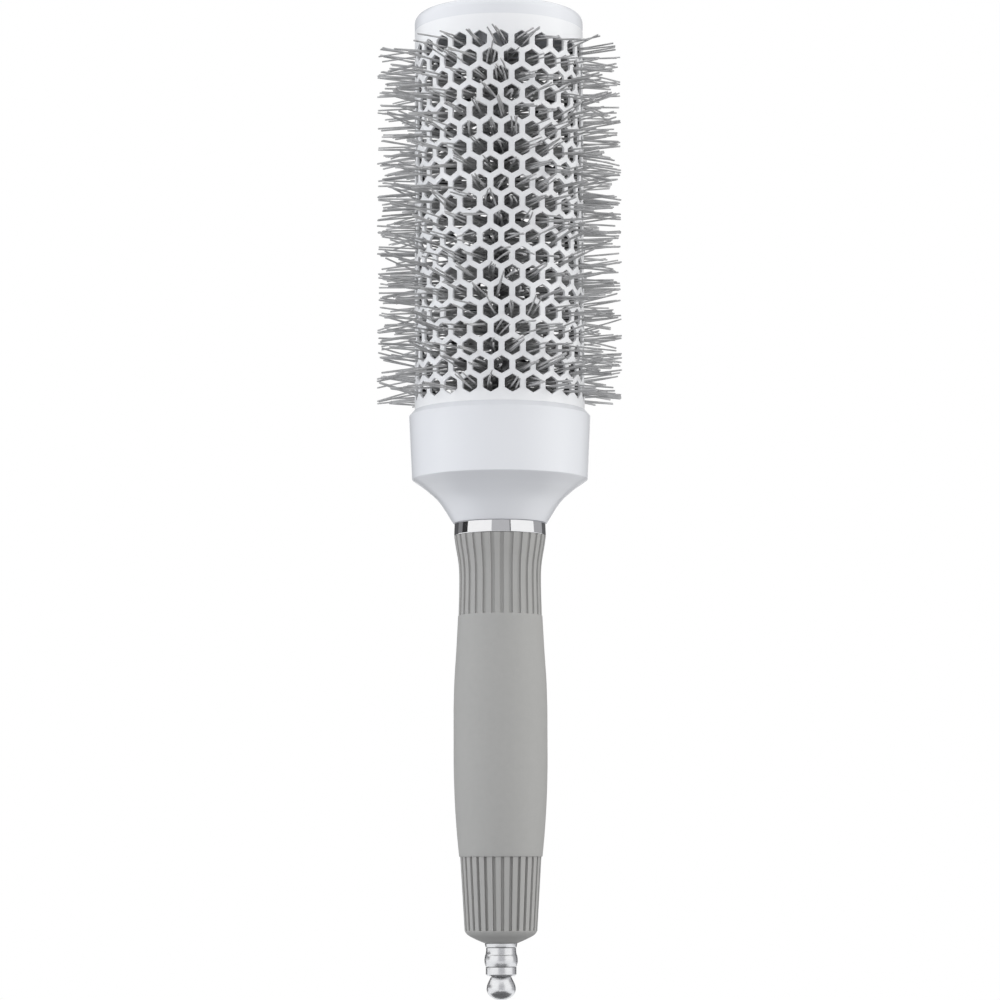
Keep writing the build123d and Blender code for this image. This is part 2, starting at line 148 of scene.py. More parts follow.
def rounded(points, steps=5, longest=0.48):
    """An outline through (radius, height, fillet) points, with its corners rounded."""
    outline = []
    count = len(points)
    for i, (r, z, fillet) in enumerate(points):
        if not fillet:
            outline.append((r, z))
            continue
        corner = np.array((r, z))
        before = np.array(points[i - 1][:2]) - corner
        after = np.array(points[(i + 1) % count][:2]) - corner
        before_len, after_len = np.linalg.norm(before), np.linalg.norm(after)
        before, after = before / before_len, after / after_len
        half = math.acos(max(-1, min(1, float(before @ after)))) / 2
        reach = min(fillet / math.tan(half), longest * before_len, longest * after_len)
        radius = reach * math.tan(half)
        middle = before + after
        centre = corner + middle / np.linalg.norm(middle) * radius / math.sin(half)
        start = corner + before * reach - centre
        end = corner + after * reach - centre
        turn = math.pi - 2 * half
        for k in range(steps + 1):
            a, b = math.sin((1 - k / steps) * turn), math.sin(k / steps * turn)
            outline.append(tuple(centre + (a * start + b * end) / math.sin(turn)))
    return outline


def smooth_curve(points, steps):
    """Points along a Catmull-Rom curve through (radius, height) points."""
    pts = [np.array(p, float) for p in points]
    pts = [2 * pts[0] - pts[1], *pts, 2 * pts[-1] - pts[-2]]
    curve = []
    for a, b, c, d in zip(pts, pts[1:], pts[2:], pts[3:]):
        for k in range(steps):
            t = k / steps
            curve.append(tuple(0.5 * (2 * b + (c - a) * t + (2 * a - 5 * b + 4 * c - d) * t ** 2
                                      + (3 * b - a - 3 * c + d) * t ** 3)))
    curve.append(tuple(pts[-2]))
    return curve


def lathe(outline, segments, closed):
    """Vertices and faces of an outline turned about the axis, with poles on the axis."""
    verts, rings, faces = [], [], []
    for r, z in outline:
        start = len(verts)
        count = 1 if r < 1e-6 else segments
        verts += [(r * math.cos(TAU * k / segments), r * math.sin(TAU * k / segments), z)
                  for k in range(count)]
        rings.append((start, count))
    pairs = list(zip(rings, rings[1:])) + ([(rings[-1], rings[0])] if closed else [])
    for (a, a_count), (b, b_count) in pairs:
        for k in range(segments if max(a_count, b_count) > 1 else 0):
            n = (k + 1) % segments
            if a_count == 1:
                faces.append((a, b + n, b + k))
            elif b_count == 1:
                faces.append((a + k, a + n, b))
            else:
                faces.append((a + k, a + n, b + n, b + k))
    return verts, faces


def turned_piece(name, outline, material, segments=TURNED_STEPS, closed=True, sharp=40, dark=()):
    """A lathe object whose outline runs so that its faces look outward.

    Faces whose middle height lies in one of the dark ranges take the dark material: painted
    shade on the floors of the ferrule's grooves, and the knob's thin washer.
    """
    area = sum(r0 * z1 - r1 * z0
               for (r0, z0), (r1, z1) in zip(outline, outline[1:] + outline[:1]))
    if area < 0:
        outline = outline[::-1]
    verts, faces = lathe(outline, segments, closed)
    middles = [sum(verts[v][2] for v in face) / len(face) for face in faces]
    marks = [int(any(low < z < high for low, high in dark)) for z in middles]
    return make_mesh(name, verts, faces, [material, GROOVE_SHADE_AND_WASHER], marks, sharp=sharp)


def ring_points(centre, radius, across, over, sides):
    """The points of a ring round a centre, in the plane of two unit vectors."""
    points = []
    for j in range(sides):
        b = TAU * j / sides
        points.append(tuple(centre + radius * (math.cos(b) * across + math.sin(b) * over)))
    return points


def tube_quads(rings, sides):
    """Quads between each ring of a tube and the next."""
    return [(k * sides + j, k * sides + (j + 1) % sides,
             (k + 1) * sides + (j + 1) % sides, (k + 1) * sides + j)
            for k in range(rings - 1) for j in range(sides)]


# ---------------------------------------------------------------- material helpers
NOISE_LOW, NOISE_HIGH = 0.3, 0.7  # the range that a noise texture mostly keeps to


def new_material(name):
    """An empty node material with its Principled shader."""
    material = bpy.data.materials.new(name)
    material.use_nodes = True
    nodes = material.node_tree.nodes
    return material, nodes, material.node_tree.links, nodes["Principled BSDF"]


def object_noise(nodes, links, scale, detail=3.0, stretch=(1, 1, 1)):
    """A noise texture fixed to the object, with its scale in bumps per metre."""
    coords = nodes.new("ShaderNodeTexCoord")
    mapping = nodes.new("ShaderNodeMapping")
    mapping.inputs["Scale"].default_value = stretch
    noise = nodes.new("ShaderNodeTexNoise")
    noise.inputs["Scale"].default_value = scale
    noise.inputs["Detail"].default_value = detail
    links.new(coords.outputs["Object"], mapping.inputs["Vector"])
    links.new(mapping.outputs["Vector"], noise.inputs["Vector"])
    return noise


def spread_value(nodes, links, source, low, high):
    """Maps a 0 to 1 noise onto a range."""
    node = nodes.new("ShaderNodeMapRange")
    node.inputs["From Min"].default_value = NOISE_LOW
    node.inputs["From Max"].default_value = NOISE_HIGH
    node.inputs["To Min"].default_value = low
    node.inputs["To Max"].default_value = high
    links.new(source.outputs["Fac"], node.inputs["Value"])
    return node.outputs["Result"]


def vary_colour(nodes, links, source, colour, share):
    """The colour, lighter and darker by a share as the noise goes."""
    ramp = nodes.new("ShaderNodeValToRGB")
    dark, light = ramp.color_ramp.elements
    dark.position, light.position = NOISE_LOW, NOISE_HIGH
    dark.color = (*(c * (1 - share) for c in colour), 1)
    light.color = (*(min(1, c * (1 + share)) for c in colour), 1)
    links.new(source.outputs["Fac"], ramp.inputs["Fac"])
    return ramp.outputs["Color"]


def add_bump(nodes, links, shader, height, distance, strength=0.5):
    """Bump with its depth in millimetres."""
    bump = nodes.new("ShaderNodeBump")
    bump.inputs["Strength"].default_value = strength
    bump.inputs["Distance"].default_value = distance * MM
    links.new(height, bump.inputs["Height"])
    links.new(bump.outputs["Normal"], shader.inputs["Normal"])


def surface(name, colour, rough, colour_share=0.02, rough_share=0.15, metallic=0.0,
            noise_scale=600, bump=0.0, bump_scale=1500, coat=0.0, coat_rough=0.1,
            specular=0.5, stretch=(1, 1, 1)):
    """A procedural material with colour variation, uneven roughness and a fine bump."""
    material, nodes, links, shader = new_material(name)
    noise = object_noise(nodes, links, noise_scale, stretch=stretch)
    links.new(vary_colour(nodes, links, noise, colour, colour_share), shader.inputs["Base Color"])
    roughness = spread_value(nodes, links, noise, rough * (1 - rough_share),
                             rough * (1 + rough_share))
    links.new(roughness, shader.inputs["Roughness"])
    shader.inputs["Metallic"].default_value = metallic
    shader.inputs["Coat Weight"].default_value = coat
    shader.inputs["Coat Roughness"].default_value = coat_rough
    shader.inputs["Specular IOR Level"].default_value = specular
    if bump:
        grain = object_noise(nodes, links, bump_scale, stretch=stretch)
        add_bump(nodes, links, shader, grain.outputs["Fac"], bump)
    return material


BRUSHED = (1, 1, 30)  # stretches the noise into fine lines round the axis

# the white ceramic coat, with painted light: made paler than the cap's white plastic, though both
# are the same white, to make up for the shade the bristles cast on the barrel
CERAMIC_WITH_PAINTED_LIGHT = surface("ceramic_coat", (0.89, 0.896, 0.915), 0.36, colour_share=0.004,
                  rough_share=0.04, noise_scale=60, coat=0.25, coat_rough=0.15)
INSIDE = surface("barrel_inside", (0.060, 0.060, 0.063), 0.55, colour_share=0.2, metallic=0.2)
WHITE_PLASTIC = surface("white_plastic", (0.805, 0.817, 0.852), 0.26, colour_share=0.003,
                        rough_share=0.04, noise_scale=40)
CHROME = surface("chrome", (0.86, 0.86, 0.87), 0.05, colour_share=0.01, metallic=1.0,
                 noise_scale=900)
SATIN = surface("satin_metal", (0.85, 0.855, 0.87), 0.29, colour_share=0.03, metallic=1.0,
                noise_scale=300, bump=0.004, bump_scale=260, stretch=BRUSHED)
SOFT_GRIP = surface("soft_grip", (0.398, 0.395, 0.386), 0.62, bump=0.02, bump_scale=4000,
                    specular=0.35)
NYLON = surface("bristle_nylon", (0.46, 0.46, 0.465), 0.34, colour_share=0.22, noise_scale=300)
WIRE = surface("core_wire", (0.32, 0.32, 0.33), 0.4, colour_share=0.15, metallic=0.9)
PIN_STEEL = surface("pin_steel", (0.62, 0.62, 0.63), 0.22, metallic=1.0, noise_scale=300,
                    stretch=BRUSHED)
# painted shade: a dark metal on the floors of the ferrule's fine grooves, where shade falls; the
# knob's washer takes it too
GROOVE_SHADE_AND_WASHER = surface("painted_groove_shade_and_washer", (0.05, 0.05, 0.055), 0.5, metallic=0.5)
HIDDEN_METAL = surface("bush_metal", (0.45, 0.45, 0.46), 0.35, metallic=1.0)
HIDDEN_PLASTIC = surface("core_plastic", (0.30, 0.30, 0.30), 0.5)
HIDDEN_RUBBER = surface("ring_rubber", (0.02, 0.02, 0.02), 0.7)


# ---------------------------------------------------------------- barrel
def row_lead(row):
    """How far round a row is shifted against the top one, as a share of a vent's step."""
    return 0.5 * ((ROWS - 1 - row) % 2)


def cell_heights():
    """The height of a cell's peak over the vent's centre, and that of its shoulders."""
    peak = ROW_PITCH / 2 + VENT_STEP ** 2 / (8 * ROW_PITCH)
    return peak, ROW_PITCH - peak


def hexagon_ring(offset):
    """A rounded hexagon that stands on a corner, moved outward by offset."""
    half_turn = math.radians(30)
    apothem = HOLE_FLATS / 2 + offset
    corner_r = HOLE_CORNER_R + max(offset, 0)
    reach = corner_r * math.tan(half_turn)
    side = apothem / math.cos(half_turn)
    ring = []
    for k in range(6):
        a = math.radians(90 - 60 * k)
        b = math.radians(30 - 60 * k)
        corner = np.array((math.cos(a), math.sin(a))) * side
        following = np.array((math.cos(b), math.sin(b))) * side
        along = (following - corner) / np.linalg.norm(following - corner)
        inward = -corner / side
        ring.append(corner + inward * corner_r * (1 / math.cos(half_turn) - 1))
        for j in range(SIDE_POINTS - 1):
            share = j / (SIDE_POINTS - 2)
            ring.append(corner + along * reach + share * (following - corner - 2 * along * reach))
    return ring


def cell_ring():
    """The border that a vent shares with its neighbours, point for point with its hexagon."""
    peak, shoulder = cell_heights()
    half = VENT_STEP / 2
    corners = [(0, peak), (half, shoulder), (half, -shoulder),
               (0, -peak), (-half, -shoulder), (-half, shoulder)]
    ring = []
    for k in range(6):
        a, b = np.array(corners[k]), np.array(corners[(k + 1) % 6])
        ring += [a + (b - a) * j / SIDE_POINTS for j in range(SIDE_POINTS)]
    return ring


class ShellBuilder:
    """Collects the vertices and faces of the tube, joining points that coincide."""

    def __init__(self):
        self.index, self.verts, self.normals, self.faces, self.marks = {}, [], [], [], []

    def vertex(self, s, z, depth, normal_s=0.0, normal_z=0.0, normal_r=1.0):
        """A point at arc length s and height z, at a depth below the tube's surface."""
        angle = s / BARREL_R
        r = BARREL_R - depth
        key = (round(math.cos(angle) * r, 4), round(math.sin(angle) * r, 4), round(z, 4))
        if key not in self.index:
            self.index[key] = len(self.verts)
            self.verts.append((r * math.cos(angle), r * math.sin(angle), z))
            n = np.array((normal_r * math.cos(angle) - normal_s * math.sin(angle),
                          normal_r * math.sin(angle) + normal_s * math.cos(angle), normal_z))
            self.normals.append(tuple(n / np.linalg.norm(n)))
        return self.index[key]

    def strip(self, a, b, mark):
        """Quads between two closed rings of vertex numbers."""
        count = len(a)
        for k in range(count):
            n = (k + 1) % count
            self.faces.append((b[k], b[n], a[n], a[k]))
            self.marks.append(mark)


def barrel_rings():
    """The levels of a vent from outside to inside.

    Each has its offset from the hole, its depth, the normal's tilt towards the hole and
    along the radius, and whether the faces above it lie inside the tube.
    """
    rim, inner = HOLE_RIM_R, HOLE_INNER_RIM
    half = math.sqrt(0.5)
    return [(rim, 0.0, 0.0, 1.0, 0), (rim * (1 - half), rim * (1 - half), half, half, 0),
            (0.0, rim, 1.0, 0.0, 0), (0.0, BARREL_WALL - inner, 1.0, 0.0, 0),
            (inner, BARREL_WALL, 0.0, -1.0, 1)]


def barrel():
    """The vented tube: a net of cells, one to a vent, closed by a plain band at each end."""
    build = ShellBuilder()
    outline = cell_ring()
    levels = barrel_rings()
    rings = [hexagon_ring(level[0]) for level in levels]
    for row, height in enumerate(ROW_Z):
        for i in range(HOLES_ROUND):
            centre = (i + row_lead(row)) * VENT_STEP + FRONT_VENT_ANGLE * BARREL_R
            last = [build.vertex(centre + s, height + z, 0.0) for s, z in outline]
            for ring, (_, depth, tilt, radial, mark) in zip(rings, levels):
                level = []
                for s, z in ring:
                    length = math.hypot(s, z)
                    level.append(build.vertex(centre + s, height + z, depth,
                                              -s / length * tilt, -z / length * tilt, radial))
                build.strip(last, level, mark)
                last = level
            border = [build.vertex(centre + s, height + z, BARREL_WALL, 0, 0, -1.0)
                      for s, z in outline]
            build.strip(last, border, 1)
    for row, sign, end in ((ROWS - 1, 1, BARREL_TOP), (0, -1, BARREL_LOW)):
        band_end(build, row, sign, end)
    return make_mesh("barrel", build.verts, build.faces, [CERAMIC_WITH_PAINTED_LIGHT, INSIDE], build.marks,
                     build.normals)


def band_end(build, row, sign, end):
    """The plain band between the outermost row of vents and the tube's end."""
    peak, shoulder = cell_heights()
    start = row_lead(row) * VENT_STEP + FRONT_VENT_ANGLE * BARREL_R
    columns = []
    for i in range(HOLES_ROUND):
        for j in range(2 * SIDE_POINTS):
            share = j / SIDE_POINTS
            z = shoulder + (peak - shoulder) * (share if share <= 1 else 2 - share)
            s = start + (i - 0.5) * VENT_STEP + j * VENT_STEP / (2 * SIDE_POINTS)
            columns.append((s, ROW_Z[row] + sign * z))
    levels = [[build.vertex(s, z, 0.0) for s, z in columns]]
    line = ROW_Z[row] + sign * (peak + 0.3)
    middle = (line + end) / 2
    edge = 0.004
    for z, depth, normal_z, normal_r in (
            (line, 0, 0, 1), (middle, 0, 0, 1), (end - sign * edge, 0, 0, 1),
            (end, edge, sign, 0.2), (end, BARREL_WALL, sign, -0.2),
            (middle, BARREL_WALL, 0, -1), (line, BARREL_WALL, 0, -1)):
        levels.append([build.vertex(s, z, depth, 0, normal_z, normal_r) for s, _ in columns])
    levels.append([build.vertex(s, z, BARREL_WALL, 0, 0, -1.0) for s, z in columns])
    first_inside = 5
    for k, (a, b) in enumerate(zip(levels, levels[1:])):
        if sign > 0:
            a, b = b, a
        build.strip(a, b, int(k >= first_inside))


# ---------------------------------------------------------------- turned pieces
def end_cap():
    """The cap, with its rounded shoulder and the plug that sits in the tube."""
    shoulder, plug_deep, plug_wall, roof, boss_r = 2.9, 2.9, 1.6, 2.0, 5.0
    plug_r = BARREL_R - BARREL_WALL - 0.05
    plug_end, under_roof = BARREL_TOP - plug_deep, CAP_TOP - roof
    outline = rounded([
        (0.0, CAP_TOP, 0), (BARREL_R, CAP_TOP, shoulder), (BARREL_R, BARREL_TOP, 0),
        (plug_r, BARREL_TOP, 0), (plug_r, plug_end, 0.2), (plug_r - plug_wall, plug_end, 0.2),
        (plug_r - plug_wall, under_roof, 0.5), (boss_r, under_roof, 0.5),
        (boss_r, PLUG_LOW, 0.2), (CORE_BORE_R, PLUG_LOW, 0.2), (CORE_BORE_R, under_roof, 0),
        (0.0, under_roof, 0)], steps=10)
    return turned_piece("end_cap_shell", outline, WHITE_PLASTIC, closed=False)


def collar():
    """The flared bell, with a crisp ridge under its band and a chamfer at its mouth."""
    bell_high, rim_high = 11.1, 1.4
    ridge, ridge_r = RING_TOP + bell_high, BARREL_R + 0.65
    band_top = COLLAR_TOP - rim_high
    mouth_r = RING_R + 0.23
    spread = ridge_r - mouth_r
    flare = smooth_curve([(mouth_r, RING_TOP + 0.06),
                          (mouth_r + 0.325 * spread, RING_TOP + 0.475 * bell_high),
                          (mouth_r + 0.655 * spread, RING_TOP + 0.765 * bell_high),
                          (ridge_r - 0.5, ridge - 0.38)], 14)
    outside = [(ridge_r, ridge, 0.35), (COLLAR_R, band_top, 0.25),
               (BARREL_R + 0.14, COLLAR_TOP, 0.05), (BARREL_R + 0.05, COLLAR_TOP, 0)]
    hollow_r, hollow_floor = 11.25, RING_TOP + 3.0
    hollow = [(BARREL_R + 0.05, BARREL_LOW, 0), (BARREL_R - 1.5, BARREL_LOW, 0.2),
              (BARREL_R - 1.5, ridge, 1.0), (hollow_r, hollow_floor, 0.5)]
    boss_r, boss_top = 9.85, RING_TOP + 16.0
    socket_r, socket_top = 8.05, RING_TOP + 13.5
    socket = [(boss_r, hollow_floor, 0.3), (boss_r, boss_top, 0.3), (CORE_BORE_R, boss_top, 0),
              (CORE_BORE_R, socket_top, 0), (socket_r, socket_top, 0), (socket_r, RING_TOP, 0),
              (mouth_r - 0.08, RING_TOP, 0)]
    return turned_piece("collar_shell", flare + rounded(outside + hollow + socket),
                        WHITE_PLASTIC, sharp=30)


def trim_ring():
    """The chrome ring, very slightly tapered, with soft edges."""
    bore_r, edge = 9.05, 0.25
    outline = rounded([(bore_r, RING_LOW, 0), (RING_R, RING_LOW, edge),
                       (RING_R - 0.1, RING_TOP, edge), (bore_r, RING_TOP, 0)])
    return turned_piece("chrome_ring", outline, CHROME)


def ferrule():
    """The turned ferrule: flange, waist, bead and nose, parted by fine grooves."""
    z = GRIP_LOW
    groove_r, bore_r, shank_r, nose_r = 3.45, 1.3, FERRULE_R - 0.7, 3.8
    flange_low, waist_top, bead_low, nose_top = z - 1.0, z - 1.14, z - 5.74, z - 5.88
    waist = [(3.74, waist_top), (3.735, z - 1.6), (3.75, z - 2.0), (3.79, z - 2.4),
             (3.86, z - 2.7), (3.97, z - 2.98)]
    quarter = math.pi / 2
    bead = [(3.99 + (FERRULE_R - 3.99) * math.sin(quarter * t / 4), z - 3.0 - 1.25 * t / 4)
            for t in range(5)]
    bead += [(3.84 + (FERRULE_R - 3.84) * math.cos(quarter * t / 5), z - 4.25 - 1.49 * t / 5)
             for t in range(1, 6)]
    flange = rounded([(bore_r, FERRULE_TOP, 0), (shank_r, FERRULE_TOP, 0.2), (shank_r, z, 0),
                      (FERRULE_R - 0.09, z, 0.12), (FERRULE_R - 0.27, flange_low, 0.06),
                      (groove_r, flange_low, 0), (groove_r, waist_top, 0)])
    nose = rounded([(groove_r, bead_low, 0), (groove_r, nose_top, 0), (nose_r, nose_top, 0.06),
                    (nose_r, FERRULE_LOW + 0.4, 0.15), (3.4, FERRULE_LOW, 0.1),
                    (bore_r, FERRULE_LOW, 0.1)])
    # the floors of these two fine grooves take the dark material: painted shade
    grooves = ((z - 1.15, z - 0.99), (z - 5.89, z - 5.73))
    return turned_piece("ferrule_shell", flange + waist + bead + nose, SATIN,
                        segments=METAL_STEPS, sharp=35, dark=grooves)


def knob():
    """The pull knob, a ball that is drawn out into a neck under a thin washer in the dark
    material.
    """
    neck_r, washer_r, bore_r, bore_deep = 2.6, 2.45, 1.25, 4
    ball_steps, neck_steps = 20, 14
    waist_z = (KNOB_LOW + KNOB_TOP) / 2
    upper, lower = KNOB_TOP - waist_z, waist_z - KNOB_LOW
    quarter = math.pi / 2
    ball = [(KNOB_R * math.cos(a), waist_z + lower * math.sin(a))
            for a in (-quarter + quarter * k / ball_steps for k in range(ball_steps + 1))]
    ball[0] = (0.0, KNOB_LOW)
    neck = [(neck_r + (KNOB_R - neck_r) * math.cos(quarter * k / neck_steps) ** 1.15,
             waist_z + upper * k / neck_steps) for k in range(1, neck_steps)]
    washer_top = KNOB_TOP + 0.18
    top = [(neck_r, KNOB_TOP), (washer_r, KNOB_TOP + 0.01), (washer_r, washer_top),
           (bore_r, washer_top), (bore_r, KNOB_TOP - bore_deep), (0.0, KNOB_TOP - bore_deep)]
    return turned_piece("knob_ball", ball + neck + top, SATIN, segments=METAL_STEPS,
                        closed=False, dark=((KNOB_TOP, washer_top + 0.01),))


def pin():
    """The sectioning pin's rod, with rounded ends."""
    outline = rounded([(0.0, PIN_LOW, 0), (PIN_R, PIN_LOW, 0.2), (PIN_R, PIN_TOP, 0.3),
                       (0.0, PIN_TOP, 0)])
    return turned_piece("pin_shaft", outline, PIN_STEEL, segments=48, closed=False)


# ---------------------------------------------------------------- grip
def grip_profile():
    """Rows of the outside from the neck down to the tail: radius, height, flute depth."""
    neck_low, tail_top, rim = 29.2, -31.0, -49.25
    crown_half, lower_r, tail_r, rim_r = 6.0, 10.39, 10.12, 9.05
    foot_r = FERRULE_R - 0.09
    neck_depth, tail_depth = 0.43, 0.85

    neck = smooth_curve([(RING_R - 0.03, GRIP_TOP), (11.19, GRIP_TOP - 2.5),
                         (10.43, GRIP_TOP - 7.2), (10.27, GRIP_TOP - 12.0),
                         (10.46, neck_low + 0.1)], 9)
    step_out = [(10.47, neck_low + 0.02), (10.53, neck_low), (10.58, neck_low - 0.06)]
    upper = smooth_curve([(10.6, neck_low - 0.15), (11.06, 20.54), (11.54, 13.0),
                          (CROWN_R, crown_half)], 9)
    crown = [(CROWN_R, z) for z in (4.0, 2.0, 0.0, -2.0, -4.0)]
    bend = (crown_half + tail_top) ** 2 / (2 * (CROWN_R - lower_r))
    falls = [-crown_half + (tail_top + crown_half) * k / 24 for k in range(24)]
    lower = [(CROWN_R - (z + crown_half) ** 2 / (2 * bend), z) for z in falls]
    step_in = [(lower_r, tail_top + 0.12), (10.36, tail_top + 0.04), (10.2, tail_top),
               (tail_r, tail_top - 0.03)]
    slope = (tail_r - rim_r) / (tail_top - rim)
    tail = [tail_top - 0.12 + (rim + 0.1 - tail_top + 0.12) * k / 20 for k in range(21)]
    drop = rim - GRIP_LOW
    dome = smooth_curve([(rim_r, rim - 0.02), (rim_r - 0.12, rim - 0.09 * drop),
                         (rim_r - 0.4, rim - 0.22 * drop), (rim_r - 1.0, rim - 0.40 * drop),
                         (6.65, rim - 0.64 * drop), (5.1, rim - 0.87 * drop),
                         (foot_r, GRIP_LOW)], 4)

    rows = [(r, z, neck_depth) for r, z in neck]
    rows += [(r, z, 0.0) for r, z in step_out + upper + crown + lower + step_in]
    rows += [(tail_r + (z - tail_top) * slope, z, tail_depth) for z in tail]
    rows += [(rim_r, rim + 0.06, tail_depth * 0.5), (rim_r, rim + 0.02, 0.0)]
    return rows + [(r, z, 0.0) for r, z in dome]


def flute_cut(depth, distance):
    """How deep the sleeve is cut at a distance from a flute's middle."""
    t = (FLUTE_HALF_WIDTH + FLUTE_EDGE - distance) / (2 * FLUTE_EDGE)
    t = max(0.0, min(1.0, t))
    return depth * t * t * (3 - 2 * t)


def grip():
    """The soft sleeve, with square flutes cut into the neck and the tail."""
    core_r, tail_bore_r = 7.65, 3.5
    inside = [(tail_bore_r, GRIP_LOW, 0.0), (tail_bore_r, CORE_LOW, 0.0),
              (core_r, CORE_LOW, 0.0), (core_r, 0.0, 0.0), (core_r, GRIP_TOP, 0.0)]
    rows = grip_profile() + inside
    # each column's turn from a flute's middle, its shift along the surface from there, and
    # its distance from the nearest flute: one flute's half, the rib, the next one's half
    distances = [0.0, 0.2, 0.36, 0.41, 0.45, 0.49, 0.54, 0.70]
    sides = [(0.0, d, d) for d in distances]
    sides.append((math.pi / FLUTES, 0.0, 1.0))
    sides += [(TAU / FLUTES, -d, d) for d in distances[:0:-1]]
    columns = FLUTES * len(sides)
    verts, faces = [], []
    for r, z, depth in rows:
        narrow = 1.0 if z > 0 else TAIL_FLUTE_SHARE
        for i in range(FLUTES):
            centre = TAU * i / FLUTES + FRONT_FLUTE_ANGLE
            for turn, shift, distance in sides:
                angle = centre + turn + shift * narrow / r
                cut = flute_cut(depth, distance)
                verts.append(((r - cut) * math.cos(angle), (r - cut) * math.sin(angle), z))
    for k in range(len(rows)):
        a, b = k * columns, (k + 1) % len(rows) * columns
        for j in range(columns):
            n = (j + 1) % columns
            faces.append((a + j, b + j, b + n, a + n))
    return make_mesh("grip_skin", verts, faces, [SOFT_GRIP], sharp=35)


# ---------------------------------------------------------------- core and bristles
def core_wires():
    """The two wires, twisted together with the lay of two rows."""
    wire_r, sides, steps_a_turn = 1.0, 12, 24
    orbit = CORE_BUNDLE_R - wire_r
    lay = 2 * ROW_PITCH
    steps = int((WIRE_TOP - WIRE_LOW) / lay * steps_a_turn)
    tilt = math.atan2(lay, TAU * orbit)
    pieces = []
    for node, start in (("core_wire_a", 0.0), ("core_wire_b", math.pi)):
        verts = []
        for k in range(steps + 1):
            z = WIRE_LOW + (WIRE_TOP - WIRE_LOW) * k / steps
            a = start + TAU * (z - WIRE_LOW) / lay
            centre = np.array((orbit * math.cos(a), orbit * math.sin(a), z))
            out = np.array((math.cos(a), math.sin(a), 0.0))
            along = np.array((-math.sin(a) * math.cos(tilt), math.cos(a) * math.cos(tilt),
                              math.sin(tilt)))
            verts += ring_points(centre, wire_r, out, np.cross(along, out), sides)
        faces = tube_quads(steps + 1, sides)
        faces.append(tuple(range(sides))[::-1])
        faces.append(tuple(steps * sides + j for j in range(sides)))
        pieces.append((make_mesh(node + "_twisted", verts, faces, [WIRE], sharp=60), node))
    return pieces


def filament(path, radius, sides=7):
    """Vertices and faces of one bristle along a path, with a rounded tip."""
    path = np.array(path)
    tangents = np.gradient(path, axis=0)
    tangents /= np.linalg.norm(tangents, axis=1)[:, None]
    end, ahead = path[-1], tangents[-1] * radius
    stations = [(point, tangent, radius) for point, tangent in zip(path, tangents)]
    stations.append((end + ahead * 0.5, tangents[-1], radius * 0.72))
    verts = []
    for point, tangent, r in stations:
        across = np.cross(tangent, UP)
        across /= np.linalg.norm(across)
        verts += ring_points(point, r, across, np.cross(across, tangent), sides)
    verts.append(tuple(end + ahead * 0.8))
    faces = tube_quads(len(stations), sides)
    last, tip = (len(stations) - 1) * sides, len(verts) - 1
    faces += [(last + j, last + (j + 1) % sides, tip) for j in range(sides)]
    faces.append(tuple(range(sides))[::-1])
    return verts, faces


def bristle_path(rng, angle, height, lean):
    """A bent line from the core, through a vent, to its tip in the vent's own tuft."""
    sweep, lift, pinch = lean
    hole_half_wide, hole_half_high, root_half_wide = 1.35, 1.4, 1.6
    tip_rounding, longest_gap = 0.24, 1.3
    path_steps = 9
    root_r = CORE_BUNDLE_R + 0.1
    hole_s = rng.uniform(-hole_half_wide, hole_half_wide)
    hole_z = rng.uniform(-hole_half_high, hole_half_high)
    tip_r = TIP_R - tip_rounding - rng.random() ** 2 * longest_gap
    out = np.array((math.cos(angle), math.sin(angle), 0.0))
    round_way = np.array((-math.sin(angle), math.cos(angle), 0.0))
    tip_s = hole_s * pinch + sweep + rng.gauss(0.0, 0.35)
    tip_z = hole_z * pinch + lift + rng.gauss(0.0, 0.28)
    root_s = max(-root_half_wide, min(root_half_wide, hole_s - 1.2 * (tip_s - hole_s)))
    root_z = hole_z - 1.4 * (tip_z - hole_z)
    root = out * root_r + round_way * root_s + UP * (height + root_z)
    hole = out * BARREL_R + round_way * hole_s + UP * (height + hole_z)
    tip = out * tip_r + round_way * tip_s + UP * (height + tip_z)
    tip[:2] *= tip_r / math.hypot(tip[0], tip[1])
    share = (BARREL_R - root_r) / (tip_r - root_r)
    control = (hole - (1 - share) ** 2 * root - share ** 2 * tip) / (2 * share * (1 - share))
    return [(1 - t) ** 2 * root + 2 * t * (1 - t) * control + t * t * tip
            for t in (k / path_steps for k in range(path_steps + 1))]


def bristles():
    """One piece to a row, with two to four bristles in each vent."""
    rng = random.Random(7)
    pieces = []
    for row, (node, height) in enumerate(zip(ROW_NODES, ROW_Z)):
        verts, faces = [], []
        for i in range(HOLES_ROUND):
            angle = TAU * (i + row_lead(row)) / HOLES_ROUND + FRONT_VENT_ANGLE
            lean = (rng.gauss(0.0, 1.3), rng.gauss(0.0, 1.05), rng.uniform(0.15, 0.95))
            for _ in range(rng.choice((2, 2, 3, 3, 4))):
                path = bristle_path(rng, angle, height, lean)
                v, f = filament(path, rng.uniform(0.20, 0.24))
                start = len(verts)
                verts += v
                faces += [tuple(n + start for n in face) for face in f]
        name = node.replace("row", "fans")
        pieces.append((make_mesh(name, verts, faces, [NYLON], sharp=None), node))
    return pieces


# ---------------------------------------------------------------- the object
add_piece(barrel(), "brush", "barrel_tube")
add_piece(end_cap(), "brush", "end_cap")
add_piece(collar(), "brush", "collar")
add_piece(trim_ring(), "brush", "trim_ring")
add_piece(grip(), "brush", "grip_sleeve")
add_piece(ferrule(), "brush", "tail_ferrule")
add_piece(knob(), "pin", "pin_knob")
add_piece(pin(), "pin", "pin_rod")
for wire, node in core_wires():
    add_piece(wire, "brush", node)
for fan, node in bristles():
    add_piece(fan, "brush", node)

